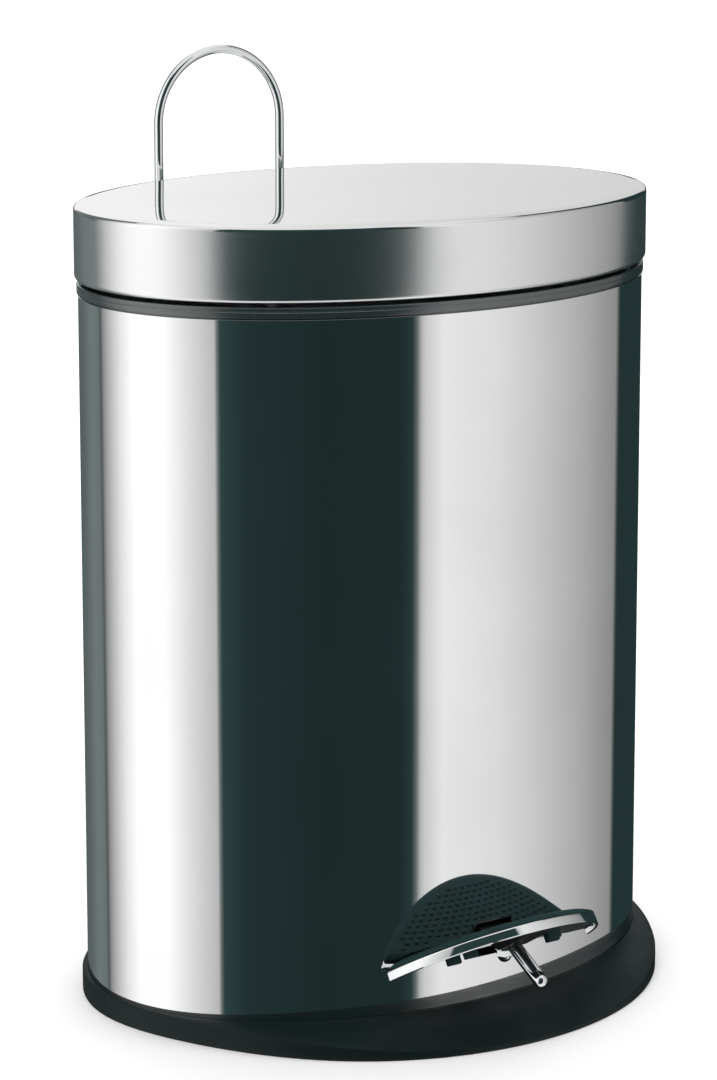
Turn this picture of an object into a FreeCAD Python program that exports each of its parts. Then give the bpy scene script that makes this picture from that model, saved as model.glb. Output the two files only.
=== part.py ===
import FreeCAD, Part
import math
import os
import Sketcher

# Oval pedal bin of about five litres, in millimetres.
# +Z is up, the pedal is on the -Y side and the hinge on the +Y side.
# The origin is on the underside of the base, below the axis of the oval body.

V = FreeCAD.Vector
X_AXIS, Y_AXIS, Z_AXIS = V(1, 0, 0), V(0, 1, 0), V(0, 0, 1)

DIMENSIONS = {
    # oval body of thin steel sheet
    "body_half_width": 112.0,
    "body_half_depth": 80.5,
    "body_bottom": 4.1,
    "body_top": 259.0,
    "sheet": 0.8,
    # moulded base
    "base_height": 8.5,
    "base_lip": 2.0,
    "base_wall": 3.2,
    "base_floor": 2.5,
    "groove_bottom": 4.0,
    "apron_flare": 0.32,
    "apron_curve": 3.4,
    "apron_edge": 2.0,
    "apron_droop": 4.4,
    "ledge": 1.0,
    "pad_radius": 7.0,
    "pad_depth": 1.2,
    "pad_across": 74.0,
    "pad_along": 44.0,
    # moulded rim
    "notch": 0.6,
    "rim_top": 263.4,
    "rim_overhang": 0.5,
    "rim_flange": 2.4,
    "rim_neck_bottom": 246.0,
    "neck_gap": 0.1,
    "neck_wall": 2.1,
    "bucket_seat_width": 104.0,
    "bucket_seat_depth": 68.0,
    # bucket
    "bucket_lip": 1.4,
    "bucket_wall": 1.5,
    "bucket_top_width": 101.0,
    "bucket_top_depth": 65.0,
    "bucket_foot_width": 90.0,
    "bucket_foot_depth": 55.0,
    "bucket_bottom": 42.0,
    "bail_level": 254.0,
    "bail_wire": 1.25,
    "bail_width": 96.0,
    "bail_depth": 60.0,
    # lid
    "lid_bottom": 264.6,
    "lid_top": 291.5,
    "lid_overhang": 1.3,
    "lid_hem": 2.4,
    "lid_edge_radius": 1.6,
    "hem_radius": 1.9,
    "liner_wall": 5.0,
    "lid_slot_left": 2.5,
    "lid_slot_right": 5.6,
    # lid hinge
    "hinge_depth": 88.0,
    "hinge_level": 284.0,
    "hinge_pin_radius": 1.5,
    "barrel_radius": 3.2,
    "barrel_half": 7.8,
    "ear_inner": 8.2,
    "ear_outer": 12.2,
    "ear_radius": 4.0,
    "leaf_half": 20.0,
    "leaf_sheet": 1.5,
    "crank_angle": 40.0,
    "crank_reach": 14.0,
    "crank_half": 4.9,
    "crank_window": 2.8,
    "crank_sheet": 3.0,
    "play": 0.05,
    # hinge housing
    "housing_half": 23.0,
    "housing_back": 103.0,
    "housing_bottom": 236.0,
    "housing_top": 262.0,
    "screw_across": 14.0,
    "screw_level": 242.0,
    "rivet_across": 16.0,
    "rivet_level": 285.0,
    # carrying handle
    "wire": 1.7,
    "arch_radius": 27.6,
    "arch_top": 338.0,
    "handle_depth": 98.5,
    "handle_pivot": 249.0,
    "handle_bend": 4.0,
    "handle_end": 17.0,
    # pedal lever, its pivot and the push rod
    "pivot_depth": 50.0,
    "pivot_level": 26.0,
    "pivot_pin": 2.0,
    "lever_half": 6.0,
    "lever_sheet": 3.0,
    "rod_depth": 74.0,
    "rod_drop": 11.75,
    "rod_left": 2.2,
    "rod_right": 4.2,
    "rod_half": 2.5,
    "rod_pin": 1.5,
    "cheek_inner": 7.0,
    "cheek_outer": 8.5,
    # slot in the front wall
    "slot_half": 8.0,
    "slot_bottom": 24.4,
    "slot_top": 36.8,
    # pedal
    "pedal_rise": 32.0,
    "pedal_gap": 1.0,
    "pedal_level": 28.2,
    "pedal_half": 44.9,
    "pedal_reach": 37.6,
    "pedal_back": 5.9,
    "pedal_sheet": 1.2,
    "pedal_flange": 3.6,
    "notch_half": 6.4,
    "notch_reach": 15.0,
    "rubber_inset": 0.3,
    "rubber_notch": 6.2,
    "rubber_rear": 2.5,
    "rubber_thick": 3.0,
    "peg_radius": 2.6,
    "peg_length": 17.5,
    "peg_slope": 28.0,
}

doc = FreeCAD.newDocument("pedal_bin")
sheet = doc.addObject("Spreadsheet::Sheet", "dims")
for row, (alias, value) in enumerate(DIMENSIONS.items(), start=1):
    sheet.set(f"A{row}", alias)
    sheet.set(f"B{row}", str(value))
    sheet.setAlias(f"B{row}", alias)
doc.recompute()

PARTS = []


def size(text):
    """Writes an expression on the sheet's cells from plain words, so that "2 * sheet" reads a cell."""
    words = text.replace("(", " ( ").replace(")", " ) ").split()
    return " ".join(f"dims.{w}" if w in DIMENSIONS else w for w in words)


def value(text):
    """The number that such an expression has now, for places where a first value is needed."""
    return float(doc.getObject("dims").evalExpression(size(text)))


def bind(obj, **sizes):
    for name, text in sizes.items():
        obj.setExpression(name, size(text))


def place(obj, x="0", y="0", z="0", axis=Z_AXIS, angle=0.0):
    """Puts an object at x, y, z of the sheet, turned by an angle about an axis."""
    obj.Placement = FreeCAD.Placement(V(0, 0, 0), FreeCAD.Rotation(axis, angle))
    obj.setExpression("Placement.Base.x", size(x))
    obj.setExpression("Placement.Base.y", size(y))
    obj.setExpression("Placement.Base.z", size(z))


def turn(obj, angle):
    obj.setExpression("Placement.Rotation.Angle", size(angle))


def ellipse(name, half_width, half_depth, level, centre="0"):
    edge = doc.addObject("Part::Ellipse", name)
    edge.MajorRadius = value(half_width)
    bind(edge, MajorRadius=half_width, MinorRadius=half_depth)
    place(edge, y=centre, z=level)
    return edge


def oval(name, half_width, half_depth, bottom, top, centre="0"):
    """A solid oval column."""
    column = doc.addObject("Part::Extrusion", name)
    column.Base = ellipse(name + "_edge", half_width, half_depth, bottom, centre)
    column.DirMode = "Custom"
    column.Dir = Z_AXIS
    column.Solid = True
    bind(column, LengthFwd=f"( {top} ) - ( {bottom} )")
    return column


def body_oval(name, offset, bottom, top):
    """An oval column whose wall is offset from the outside of the body."""
    return oval(name, f"body_half_width + {offset}", f"body_half_depth + {offset}", bottom, top)


def loft(name, *edges):
    made = doc.addObject("Part::Loft", name)
    made.Sections = list(edges)
    made.Solid = True
    made.Ruled = True
    return made


def box(name, x0, x1, y0, y1, z0, z1):
    made = doc.addObject("Part::Box", name)
    bind(made, Length=f"( {x1} ) - ( {x0} )", Width=f"( {y1} ) - ( {y0} )", Height=f"( {z1} ) - ( {z0} )")
    place(made, x0, y0, z0)
    return made


def rod(name, radius, length, x="0", y="0", z="0", axis=None):
    """A cylinder that starts at x, y, z and runs along +Z, or along X or Y if an axis says so."""
    made = doc.addObject("Part::Cylinder", name)
    bind(made, Radius=radius, Height=length)
    if axis == "x":
        place(made, x, y, z, Y_AXIS, 90)
    elif axis == "y":
        place(made, x, y, z, X_AXIS, -90)
    else:
        place(made, x, y, z)
    return made


def fuse(name, *shapes):
    made = doc.addObject("Part::MultiFuse", name)
    made.Shapes = list(shapes)
    made.Refine = True
    return made


def cut(name, base, *tools):
    made = doc.addObject("Part::Cut", name)
    made.Base = base
    made.Tool = tools[0] if len(tools) == 1 else fuse(name + "_tools", *tools)
    made.Refine = True
    return made


def common(name, *shapes):
    made = doc.addObject("Part::MultiCommon", name)
    made.Shapes = list(shapes)
    return made


def group(name, *shapes):
    made = doc.addObject("Part::Compound", name)
    made.Links = list(shapes)
    return made


def round_edges(name, base, chosen, radius):
    """A Part::Fillet on the edges of a base that a test picks."""
    doc.recompute()
    made = doc.addObject("Part::Fillet", name)
    made.Base = base
    numbers = [i for i, edge in enumerate(base.Shape.Edges, start=1) if chosen(edge)]
    made.Edges = [(i, value(radius), value(radius)) for i in numbers]
    return made


def part(node, obj):
    """Names the finished sub-part, which also names its file."""
    obj.Label = node
    PARTS.append(obj)
    return obj


def new_body(name):
    return doc.addObject("PartDesign::Body", name)


def sketch(body, role, name):
    made = body.newObject("Sketcher::SketchObject", name)
    plane = next(f for f in body.Origin.OriginFeatures if f.Role == role)
    made.AttachmentSupport = [(plane, "")]
    made.MapMode = "FlatFace"
    return made


def pin_point(sk, geometry, end, x, y):
    """Holds one point of a sketch at x, y of the sheet."""
    for kind, text in (("DistanceX", x), ("DistanceY", y)):
        number = sk.addConstraint(Sketcher.Constraint(kind, -1, 1, geometry, end, value(text)))
        sk.setExpression(f"Constraints[{number}]", size(text))


def outline(sk, points):
    """Closed outline of straight lines through points of the sheet."""
    corners = [V(value(x), value(y), 0) for x, y in points]
    first = sk.GeometryCount
    for i, corner in enumerate(corners):
        sk.addGeometry(Part.LineSegment(corner, corners[(i + 1) % len(corners)]), False)
    for i, (x, y) in enumerate(points):
        follower = first + (i + 1) % len(points)
        sk.addConstraint(Sketcher.Constraint("Coincident", first + i, 2, follower, 1))
        pin_point(sk, first + i, 1, x, y)


def circle(sk, x, y, radius):
    geometry = sk.addGeometry(Part.Circle(V(value(x), value(y), 0), Z_AXIS, value(radius)), False)
    pin_point(sk, geometry, 3, x, y)
    number = sk.addConstraint(Sketcher.Constraint("Radius", geometry, value(radius)))
    sk.setExpression(f"Constraints[{number}]", size(radius))


def half_moon(sk, half, reach, rear="0"):
    """A straight rear edge and an arc that reaches forward of it, to -Y."""
    wide, deep = value(half), value(reach)
    radius = (wide * wide + deep * deep) / (2 * deep)
    left, right = V(-wide, -value(rear), 0), V(wide, -value(rear), 0)
    arc = Part.Arc(left, V(0, -deep - value(rear), 0), right)
    first = sk.addGeometry(Part.LineSegment(right, left), False)
    second = sk.addGeometry(arc, False)
    sk.addConstraint(Sketcher.Constraint("Coincident", first, 2, second, 1))
    sk.addConstraint(Sketcher.Constraint("Coincident", first, 1, second, 2))
    pin_point(sk, first, 1, half, f"0 - ( {rear} )")
    pin_point(sk, first, 2, f"0 - ( {half} )", f"0 - ( {rear} )")
    number = sk.addConstraint(Sketcher.Constraint("Radius", second, radius))
    text = f"( ( {half} ) * ( {half} ) + ( {reach} ) * ( {reach} ) ) / ( 2 * ( {reach} ) )"
    sk.setExpression(f"Constraints[{number}]", size(text))


def pad(body, sk, name, length, midplane=False, reverse=False):
    made = body.newObject("PartDesign::Pad", name)
    made.Profile = sk
    made.Midplane = midplane
    made.Reversed = reverse
    bind(made, Length=length)
    return made


def pocket(body, sk, name, length=None, reverse=False, midplane=False):
    """Cuts into the body, or right through it on both sides where no length is given."""
    made = body.newObject("PartDesign::Pocket", name)
    made.Profile = sk
    made.Reversed = reverse
    made.Midplane = midplane or length is None
    bind(made, Length=length or "300")
    return made


# ---------------------------------------------------------------- base and body


def flared_block():
    """The outside of the base: an oval block whose front flares out while its edge drops to a thin lip."""
    half_width = value("body_half_width + base_lip")
    half_depth = value("body_half_depth + base_lip")
    height, drop = value("base_height"), value("base_height - apron_edge")
    steps = 96
    rim, foot = [], []
    for step in range(steps):
        turn_angle = 2 * math.pi * step / steps
        front = max(0.0, -math.sin(turn_angle))
        flare = 1 + value("apron_flare") * front ** value("apron_curve")
        x, y = half_width * math.cos(turn_angle) * flare, half_depth * math.sin(turn_angle) * flare
        rim.append(V(x, y, height - drop * front ** value("apron_droop")))
        foot.append(V(x, y, 0))
    curves = []
    for points in (rim, foot):
        curve = Part.BSplineCurve()
        curve.interpolate(points, PeriodicFlag=True)
        curves.append(curve.toShape())
    ledge = Part.Ellipse(
        V(0, 0, height), value("body_half_width + ledge"), value("body_half_depth + ledge")
    ).toShape()
    faces = [
        Part.Face(Part.Wire([ledge])),
        Part.makeRuledSurface(ledge, curves[0]),
        Part.makeRuledSurface(curves[0], curves[1]),
        Part.Face(Part.Wire([curves[1]])),
    ]
    block = Part.Solid(Part.Shell(faces))
    if block.Volume < 0:
        block.reverse()
    return block


def make_base():
    """One moulding: an oval tray, an apron that runs out under the pedal, and a groove for the body."""
    solid = doc.addObject("Part::Feature", "base_solid")
    solid.Shape = flared_block()
    well = body_oval("base_well", "0 - base_wall", "base_floor", "base_height + 1")
    groove_out = body_oval("groove_out", "neck_gap", "groove_bottom", "base_height + 1")
    groove_in = body_oval("groove_in", "0 - sheet - neck_gap", "groove_bottom", "base_height + 1")
    groove = cut("groove", groove_out, groove_in)
    sockets = feet("foot_socket", "pad_radius")
    part("base_moulding", cut("base_moulding", solid, well, groove, *sockets))
    part("anti_slip_pads", group("anti_slip_pads", *feet("foot_pad", "pad_radius - 0.05")))


def feet(name, radius):
    """Four round pads let into the underside of the base."""
    made = []
    for i, (sx, sy) in enumerate(((-1, -1), (1, -1), (1, 1), (-1, 1)), start=1):
        x, y = f"{sx} * pad_across", f"{sy} * pad_along"
        made.append(rod(f"{name}_{i}", radius, "pad_depth", x, y))
    return made


def make_body():
    """The steel wall, with a slot for the pedal lever and two screw holes for the hinge housing."""
    outer = body_oval("wall_out", "0", "body_bottom", "body_top")
    inner = body_oval("wall_in", "0 - sheet", "body_bottom - 1", "body_top + 1")
    slot = box(
        "lever_slot", "0 - slot_half", "slot_half", "0 - body_half_depth - 5", "0 - body_half_depth + 5",
        "slot_bottom", "slot_top",
    )
    holes = [
        rod(
            f"wall_hole_{side + 2}", "2.1", "20", f"{side} * screw_across", "body_half_depth - 12",
            "screw_level", "y",
        )
        for side in (-1, 1)
    ]
    part("body_shell", cut("body_shell", outer, inner, slot, *holes))


def make_rim():
    """The black ring on top of the wall. Its flange carries the bucket and lets the push rod through."""
    band = body_oval("rim_band", "rim_overhang", "body_top + notch", "rim_top")
    doc.recompute()
    top_edge = value("rim_top")
    soft_band = round_edges(
        "rim_band_soft", band, lambda edge: abs(edge.BoundBox.ZMin - top_edge) < 0.01, "notch"
    )
    neck = body_oval("rim_neck", "0 - sheet - neck_gap", "rim_neck_bottom", "body_top + notch + 0.5")
    hollow = body_oval("rim_hollow", "0 - sheet - neck_gap - neck_wall", "0", "rim_top - rim_flange")
    mouth = oval("rim_mouth", "bucket_top_width + 0.5", "bucket_top_depth + 0.5", "0", "rim_top + 1")
    seat = oval(
        "rim_seat", "bucket_seat_width", "bucket_seat_depth", "rim_top - bucket_lip", "rim_top + 1"
    )
    passage = box(
        "rod_passage", "rod_left - 1", "rod_right + 1", "rod_depth - 3.1", "rod_depth + 3.4",
        "rim_neck_bottom - 1", "rim_top + 1",
    )
    ring = cut("rim_ring", fuse("rim_solid", soft_band, neck), hollow, mouth, seat, passage)
    part("rim_ring", ring)


def make_bucket():
    """The lift-out bucket hangs by its lip from the rim, and its bail lies folded inside the mouth."""
    skin_low = ellipse("skin_low", "bucket_foot_width", "bucket_foot_depth", "bucket_bottom")
    skin_high = ellipse("skin_high", "bucket_top_width", "bucket_top_depth", "rim_top - bucket_lip")
    room_low = ellipse(
        "room_low", "bucket_foot_width - bucket_wall", "bucket_foot_depth - bucket_wall",
        "bucket_bottom + bucket_wall",
    )
    room_high = ellipse(
        "room_high", "bucket_top_width - bucket_wall", "bucket_top_depth - bucket_wall", "rim_top + 1"
    )
    lip = oval(
        "bucket_lip_solid", "bucket_seat_width - 0.3", "bucket_seat_depth - 0.3",
        "rim_top - bucket_lip", "rim_top",
    )
    skin = fuse("bucket_skin", loft("bucket_outside", skin_low, skin_high), lip)
    eyes = rod(
        "bail_holes", "bail_wire", "2 * bail_width + 30", "0 - bail_width - 15", "0", "bail_level", "x"
    )
    part("inner_bucket", cut("inner_bucket", skin, loft("bucket_room", room_low, room_high), eyes))

    path = ellipse("bail_path", "bail_width", "bail_depth", "bail_level")
    path.Angle1 = 180
    path.Angle2 = 360
    ring = doc.addObject("Part::Circle", "bail_section")
    bind(ring, Radius="bail_wire")
    place(ring, "bail_width", "0", "bail_level", X_AXIS, 90)
    sweep = doc.addObject("Part::Sweep", "bail_bow")
    sweep.Sections = [ring]
    sweep.Spine = (path, ["Edge1"])
    sweep.Solid = True
    sweep.Frenet = True
    pieces = [sweep]
    for side in (-1, 1):
        ball = doc.addObject("Part::Sphere", f"bail_corner_{side + 2}")
        bind(ball, Radius="bail_wire")
        place(ball, f"{side} * bail_width", "0", "bail_level")
        start = "bail_width" if side > 0 else "0 - bail_width - 7"
        pieces += [ball, rod(f"bail_end_{side + 2}", "bail_wire", "7", start, "0", "bail_level", "x")]
    part("bucket_bail", fuse("bucket_bail", *pieces))


# ---------------------------------------------------------------- lid and hinge


def make_lid():
    """Deep-skirted steel lid with a rolled hem, open at the back where the crank and the rod pass."""
    outer = body_oval("lid_out", "lid_overhang", "lid_bottom", "lid_top")
    doc.recompute()
    top, low = value("lid_top"), value("lid_bottom")
    round_top = round_edges(
        "lid_top_round", outer, lambda edge: abs(edge.BoundBox.ZMin - top) < 0.01, "lid_edge_radius"
    )
    doc.recompute()
    round_hem = round_edges(
        "lid_hem_round", round_top, lambda edge: abs(edge.BoundBox.ZMax - low) < 0.01, "hem_radius"
    )
    room = body_oval(
        "lid_room", "lid_overhang - sheet", "lid_bottom + lid_hem", "lid_top - sheet"
    )
    mouth = body_oval("lid_mouth", "lid_overhang - lid_hem", "lid_bottom - 1", "lid_bottom + lid_hem + 1")
    slot = box(
        "lid_slot", "0 - lid_slot_left", "lid_slot_right", "rod_depth", "hinge_depth",
        "lid_bottom - 1", "hinge_level + 1.6",
    )
    holes = rivet_rods("lid_hole", "1.5", "30", "body_half_depth - 10")
    part("lid_shell", cut("lid_shell", round_hem, room, mouth, slot, *holes))

    buffers = []
    for i, (sx, sy) in enumerate(((-1, -1), (1, -1), (1, 1), (-1, 1)), start=1):
        x, y = f"{sx} * body_half_width * 0.686", f"{sy} * body_half_depth * 0.677"
        buffers.append(rod(f"buffer_{i}", "2.2", "lid_bottom + lid_hem + 0.1 - rim_top", x, y, "rim_top"))
    part("lid_buffers", group("lid_buffers", *buffers))
    ring_out = body_oval("liner_out", "lid_overhang - sheet - 0.1", "lid_bottom + lid_hem + 0.1",
                         "lid_bottom + 9")
    ring_in = body_oval("liner_in", "lid_overhang - sheet - liner_wall", "0", "lid_bottom + 10")
    gap = box("liner_gap", "0 - leaf_half", "leaf_half", "60", "100", "0", "300")
    part("lid_liner", cut("lid_liner", ring_out, ring_in, gap))


def rivet_rods(name, radius, length, start):
    """Two rods along Y where the rivets of the hinge leaf sit."""
    return [
        rod(f"{name}_{side + 2}", radius, length, f"{side} * rivet_across", start, "rivet_level", "y")
        for side in (-1, 1)
    ]


def make_lid_hinge():
    """Leaf on the back of the lid, barrel on the hinge pin and the crank that the push rod lifts."""
    leaf_out = body_oval("leaf_out", "lid_overhang + leaf_sheet", "hinge_level - 4", "lid_top - 2")
    leaf_in = body_oval("leaf_in", "lid_overhang", "hinge_level - 5", "lid_top")
    leaf_window = box("leaf_window", "0 - leaf_half", "leaf_half", "70", "95", "260", "300")
    leaf = common("leaf", cut("leaf_ring", leaf_out, leaf_in), leaf_window)
    barrel = rod(
        "barrel", "barrel_radius", "2 * barrel_half", "0 - barrel_half", "hinge_depth", "hinge_level", "x"
    )
    web = box(
        "web", "0 - barrel_half", "barrel_half", "body_half_depth + lid_overhang + 0.6", "hinge_depth",
        "hinge_level - 1.6", "hinge_level + 1.6",
    )
    crank = new_body("crank_body")
    profile = sketch(crank, "YZ_Plane", "crank_profile")
    outline(profile, [("0", "0 - crank_half"), ("0", "crank_half"), ("0 - 24", "crank_half"),
                      ("0 - 24", "0 - crank_half")])
    pad(crank, profile, "crank_plate", "crank_sheet", midplane=True)
    window = sketch(crank, "YZ_Plane", "crank_window")
    near, far = "0 - crank_reach + 2.5", "0 - crank_reach - 6.9"
    outline(
        window,
        [(near, "0 - crank_window"), (near, "crank_window"), (far, "crank_window"),
         (far, "0 - crank_window")],
    )
    pocket(crank, window, "crank_slot")
    place(crank, "0", "hinge_depth", "hinge_level", X_AXIS, 40)
    turn(crank, "crank_angle")
    bore = rod(
        "barrel_bore", "hinge_pin_radius + play", "60", "0 - 30", "hinge_depth", "hinge_level", "x"
    )
    holes = rivet_rods("leaf_hole", "1.5", "30", "body_half_depth - 10")
    hinge = cut("lid_hinge", fuse("lid_hinge_solid", leaf, barrel, web, crank), bore, *holes)
    part("lid_hinge", hinge)

    shanks = rivet_rods("rivet_shank", "1.45", "4.6", "body_half_depth - 1.6")
    heads = rivet_rods("rivet_head", "2.2", "0.9", "body_half_depth + 2.4")
    rivets = [fuse(f"rivet_{i}", *pair) for i, pair in enumerate(zip(shanks, heads), start=1)]
    part("lid_rivets", group("lid_rivets", *rivets))


def make_housing():
    """Moulded hinge housing behind the wall, its two ears, the hinge pin and the two screws."""
    block = box(
        "housing_block", "0 - housing_half", "housing_half", "body_half_depth - 8", "housing_back",
        "housing_bottom", "housing_top",
    )
    doc.recompute()
    back = value("housing_back")
    soft = round_edges(
        "housing_soft", block,
        lambda edge: edge.BoundBox.YMin > back - 0.01 and edge.BoundBox.YLength < 0.01, "lid_edge_radius",
    )
    wall = body_oval("housing_wall", "0.02", "0", "300")
    collar = body_oval("housing_collar", "rim_overhang + 0.1", "body_top - 0.5", "300")
    pieces = [cut("housing_body", soft, wall, collar)]
    for side in (-1, 1):
        left = "ear_inner" if side > 0 else "0 - ear_outer"
        right = "ear_outer" if side > 0 else "0 - ear_inner"
        stem = box(
            f"ear_stem_{side + 2}", left, right, "hinge_depth - ear_radius + 0.6",
            "hinge_depth + ear_radius", "housing_top - 1", "hinge_level",
        )
        tip = rod(
            f"ear_tip_{side + 2}", "ear_radius - 0.6", "ear_outer - ear_inner", left,
            "hinge_depth", "hinge_level", "x",
        )
        pieces += [stem, tip]
    holes = [
        rod("ear_bore", "hinge_pin_radius", "60", "0 - 30", "hinge_depth", "hinge_level", "x"),
        rod("handle_bore", "wire + play", "90", "0 - 45", "handle_depth", "handle_pivot", "x"),
    ]
    for side in (-1, 1):
        holes.append(
            rod(f"screw_bore_{side + 2}", "1.6", "16", f"{side} * screw_across", "70", "screw_level", "y")
        )
    part("hinge_housing", cut("hinge_housing", fuse("housing_solid", *pieces), *holes))

    shaft = rod(
        "pin_shaft", "hinge_pin_radius", "2 * ear_outer", "0 - ear_outer", "hinge_depth", "hinge_level", "x"
    )
    heads = [
        rod("pin_head_left", "2.3", "1.2", "0 - ear_outer - 1.2", "hinge_depth", "hinge_level", "x"),
        rod("pin_head_right", "2.3", "1.2", "ear_outer", "hinge_depth", "hinge_level", "x"),
    ]
    part("hinge_pin", fuse("hinge_pin", shaft, *heads))

    screws = []
    for side in (-1, 1):
        x = f"{side} * screw_across"
        shank = rod(f"screw_shank_{side + 2}", "1.6", "9.4", x, "76.6", "screw_level", "y")
        head = rod(f"screw_head_{side + 2}", "3.2", "2", x, "76.6 - 2", "screw_level", "y")
        screws.append(fuse(f"housing_screw_{side + 2}", shank, head))
    part("housing_screws", group("housing_screws", *screws))


def make_handle():
    """Bent wire: two legs, a round arch above the lid, and ends turned into the hinge housing."""
    centre = "arch_top - arch_radius - wire"
    arch = doc.addObject("Part::Torus", "arch")
    bind(arch, Radius1="arch_radius", Radius2="wire")
    arch.Angle3 = 180
    place(arch, "0", "handle_depth", centre, X_AXIS, 90)
    pieces = [arch]
    for side in (-1, 1):
        tag = side + 2
        pieces.append(
            rod(
                f"leg_{tag}", "wire", f"( {centre} ) - handle_pivot - handle_bend",
                f"{side} * arch_radius", "handle_depth", "handle_pivot + handle_bend",
            )
        )
        bend = doc.addObject("Part::Torus", f"bend_{tag}")
        bind(bend, Radius1="handle_bend", Radius2="wire")
        bend.Angle3 = 90
        turned = FreeCAD.Rotation(X_AXIS, 90).multiply(FreeCAD.Rotation(Z_AXIS, 270 if side > 0 else 180))
        place(
            bend, f"{side} * ( arch_radius - handle_bend )", "handle_depth", "handle_pivot + handle_bend"
        )
        bend.Placement = FreeCAD.Placement(bend.Placement.Base, turned)
        pieces.append(bend)
        start = "handle_end" if side > 0 else "0 - arch_radius + handle_bend"
        length = "arch_radius - handle_bend - handle_end"
        pieces.append(rod(f"stub_{tag}", "wire", length, start, "handle_depth", "handle_pivot", "x"))
    part("carry_handle", fuse("carry_handle", *pieces))


# ---------------------------------------------------------------- pedal and linkage


def make_bracket():
    """Steel channel on the floor of the base that carries the pivot of the pedal lever."""
    foot = box(
        "bracket_foot", "0 - cheek_outer - 9", "cheek_outer + 9", "0 - pivot_depth - 8",
        "0 - pivot_depth + 8", "base_floor", "base_floor + 1.5",
    )
    pieces = [foot]
    for side in (-1, 1):
        left = "cheek_inner" if side > 0 else "0 - cheek_outer"
        right = "cheek_outer" if side > 0 else "0 - cheek_inner"
        pieces.append(
            box(
                f"cheek_{side + 2}", left, right, "0 - pivot_depth - 6", "0 - pivot_depth + 6",
                "base_floor + 1", "pivot_level",
            )
        )
        pieces.append(
            rod(f"cheek_top_{side + 2}", "6", "cheek_outer - cheek_inner", left, "0 - pivot_depth",
                "pivot_level", "x")
        )
    holes = [rod("cheek_bore", "pivot_pin", "60", "0 - 30", "0 - pivot_depth", "pivot_level", "x")]
    screws = []
    for side in (-1, 1):
        x, y = f"{side} * ( cheek_outer + 5 )", "0 - pivot_depth"
        holes.append(rod(f"bracket_hole_{side + 2}", "1.5", "4", x, y, "base_floor"))
        shank = rod(f"bracket_shank_{side + 2}", "1.5", "1.5", x, y, "base_floor")
        head = rod(f"bracket_head_{side + 2}", "2.8", "1.8", x, y, "base_floor + 1.5")
        screws.append(fuse(f"bracket_screw_{side + 2}", shank, head))
    part("pivot_bracket", cut("pivot_bracket", fuse("bracket_solid", *pieces), *holes))
    part("bracket_screws", group("bracket_screws", *screws))

    shaft = rod(
        "pivot_shaft", "pivot_pin", "2 * cheek_outer + 1", "0 - cheek_outer - 0.5", "0 - pivot_depth",
        "pivot_level", "x",
    )
    heads = [
        rod("pivot_head_left", "3", "1.2", "0 - cheek_outer - 1.2", "0 - pivot_depth", "pivot_level", "x"),
        rod("pivot_head_right", "3", "1.2", "cheek_outer", "0 - pivot_depth", "pivot_level", "x"),
    ]
    part("lever_pivot_pin", fuse("lever_pivot_pin", shaft, *heads))


def make_lever():
    """Flat bar from the pedal through the wall to the push rod, bent up to the pedal in front."""
    lever = new_body("lever_body")
    profile = sketch(lever, "YZ_Plane", "lever_profile")
    rear, tail = "rod_depth + 3.4", "pivot_level - rod_drop"
    outline(
        profile,
        [
            ("0 - pivot_depth", "pivot_level - 2.5"),
            (rear, f"{tail} - 3"),
            (rear, f"{tail} + 3"),
            ("0 - pivot_depth", "pivot_level + 2.5"),
            ("0 - 75", "pivot_level + 8.6"),
            ("0 - 94.05", "pivot_level + 8.6"),
            ("0 - 105.5", "pivot_level + 15.74"),
            ("0 - 106.85", "pivot_level + 13.5"),
            ("0 - 91.6", "pivot_level + 4"),
            ("0 - 83", "pivot_level + 4"),
            ("0 - 81.6", "pivot_level + 5.6"),
            ("0 - 76", "pivot_level + 5.6"),
        ],
    )
    pad(lever, profile, "lever_bar", "2 * lever_half", midplane=True)
    hub = sketch(lever, "YZ_Plane", "lever_hub")
    circle(hub, "0 - pivot_depth", "pivot_level", "pivot_pin + 2.6")
    pad(lever, hub, "lever_boss", "2 * lever_half", midplane=True)
    bore = sketch(lever, "YZ_Plane", "lever_bore")
    circle(bore, "0 - pivot_depth", "pivot_level", "pivot_pin + play")
    pocket(lever, bore, "lever_hole")
    side = sketch(lever, "XY_Plane", "tail_relief")
    outline(
        side,
        [("rod_left - 0.6", "rod_depth - 6"), ("lever_half + 1", "rod_depth - 6"),
         ("lever_half + 1", "rod_depth + 9"), ("rod_left - 0.6", "rod_depth + 9")],
    )
    pocket(lever, side, "tail_step")
    eye = sketch(lever, "YZ_Plane", "tail_eye")
    circle(eye, "rod_depth", tail, "rod_pin")
    pocket(lever, eye, "tail_hole")
    part("pedal_lever", lever)

    shaft = rod(
        "joint_shaft", "rod_pin", "lever_half + rod_right + 1", "0 - lever_half", "rod_depth", tail, "x"
    )
    head = rod("joint_head", "2.4", "1.2", "0 - lever_half - 1.2", "rod_depth", tail, "x")
    clip = rod("joint_clip", "2.4", "0.8", "rod_right + 0.4", "rod_depth", tail, "x")
    part("rod_joint_pin", fuse("rod_joint_pin", shaft, head, clip))


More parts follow.
